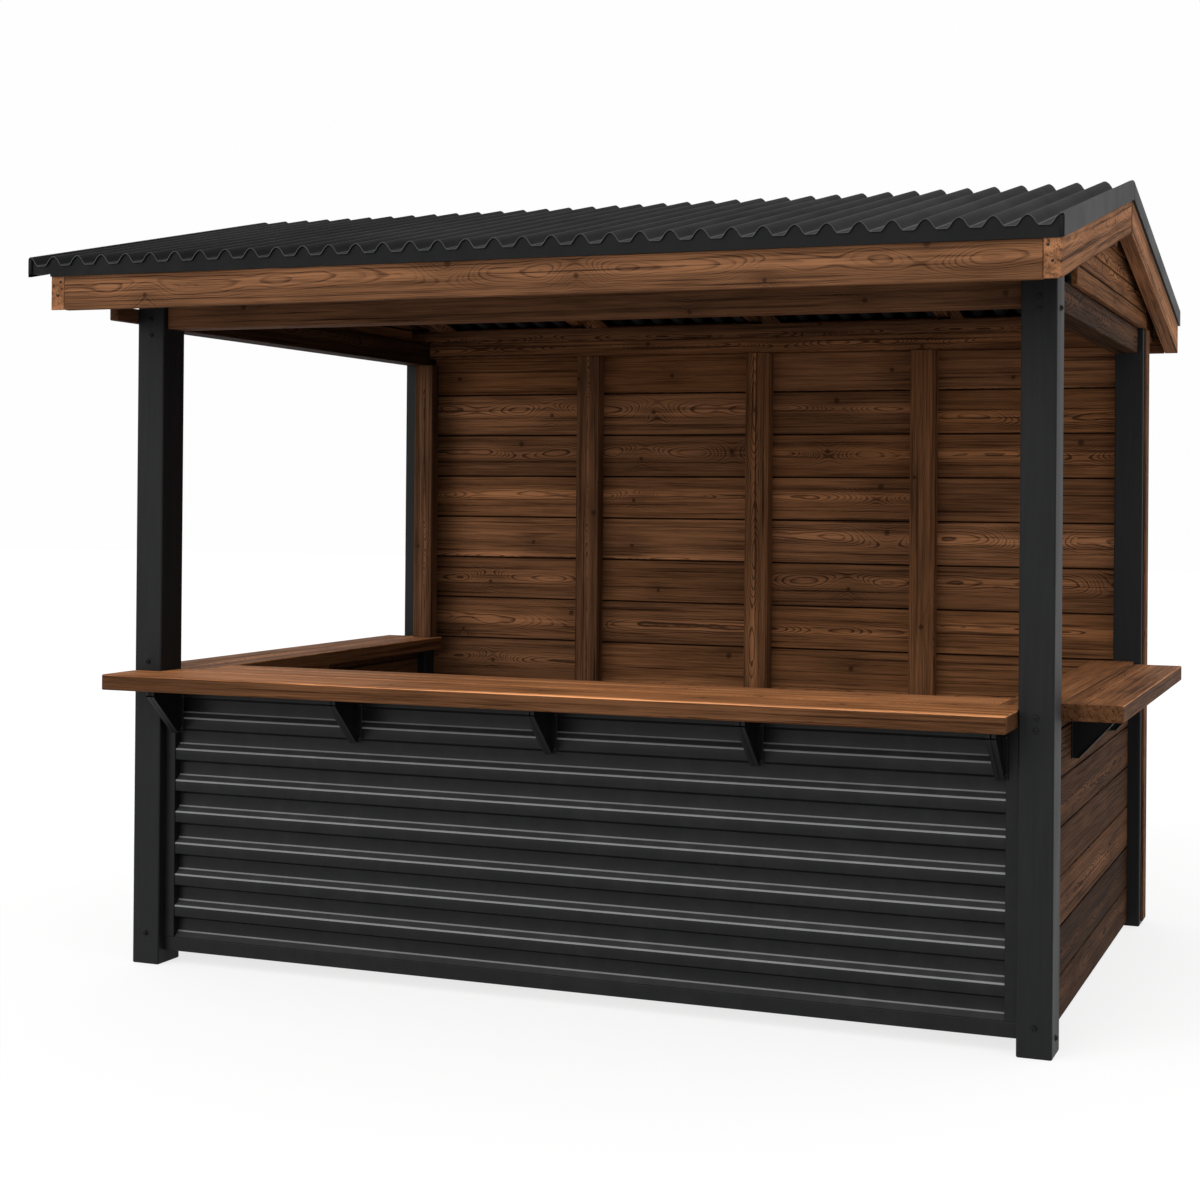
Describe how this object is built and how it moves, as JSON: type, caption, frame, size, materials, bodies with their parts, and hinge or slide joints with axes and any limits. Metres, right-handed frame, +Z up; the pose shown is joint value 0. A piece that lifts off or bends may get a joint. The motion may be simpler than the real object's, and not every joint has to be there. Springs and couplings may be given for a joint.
{
  "type": "market stall",
  "caption": "Gable-roofed wooden market stall with black posts, corrugated steel roof, a counter on the front and both sides, a steel-clad front panel and a boarded back wall.",
  "frame": {"origin": "centre of the stall on the ground, midway between the four posts and between the two eaves", "axes": "+X along the ridge towards the right-hand end seen from the serving front, +Y towards the back wall, +Z up"},
  "size_m": [3.305, 2.744, 2.57],
  "materials": {
    "black_timber": "satin black paint on sawn timber posts",
    "stained_wood": "brown translucent stain on planed softwood",
    "counter_wood": "satin oiled planks",
    "roof_steel": "matt black coated steel sheet",
    "panel_steel": "semi-gloss black coated steel"
  },
  "bodies": {
    "root": {"post_front_left": "black_timber", "post_front_right": "black_timber", "post_back_left": "black_timber", "post_back_right": "black_timber", "front_beam": "stained_wood", "back_beam": "stained_wood", "left_beam": "stained_wood", "right_beam": "stained_wood", "left_rail": "stained_wood", "front_plate": "stained_wood", "back_plate": "stained_wood", "ridge_beam": "stained_wood", "rafter_left": "stained_wood", "rafter_middle": "stained_wood", "rafter_right": "stained_wood", "battens_front": "stained_wood", "battens_back": "stained_wood", "gable_left": "stained_wood", "gable_right": "stained_wood", "barge_left": "stained_wood", "barge_right": "stained_wood", "fascia_front": "stained_wood", "fascia_back": "stained_wood", "roof_sheet_front": "roof_steel", "roof_sheet_back": "roof_steel", "eave_trim_front": "roof_steel", "eave_trim_back": "roof_steel", "verge_trim_left": "roof_steel", "verge_trim_right": "roof_steel", "front_panel": "panel_steel", "back_wall": "stained_wood", "left_wall": "stained_wood", "right_wall": "stained_wood", "front_counter": "counter_wood", "left_counter": "counter_wood", "right_counter": "counter_wood", "front_bracket_1": "panel_steel", "front_bracket_2": "panel_steel", "front_bracket_3": "panel_steel", "front_bracket_4": "panel_steel", "front_bracket_5": "panel_steel", "left_bracket_1": "panel_steel", "left_bracket_2": "panel_steel", "right_bracket_1": "panel_steel", "right_bracket_2": "panel_steel"}
  },
  "joints": []
}
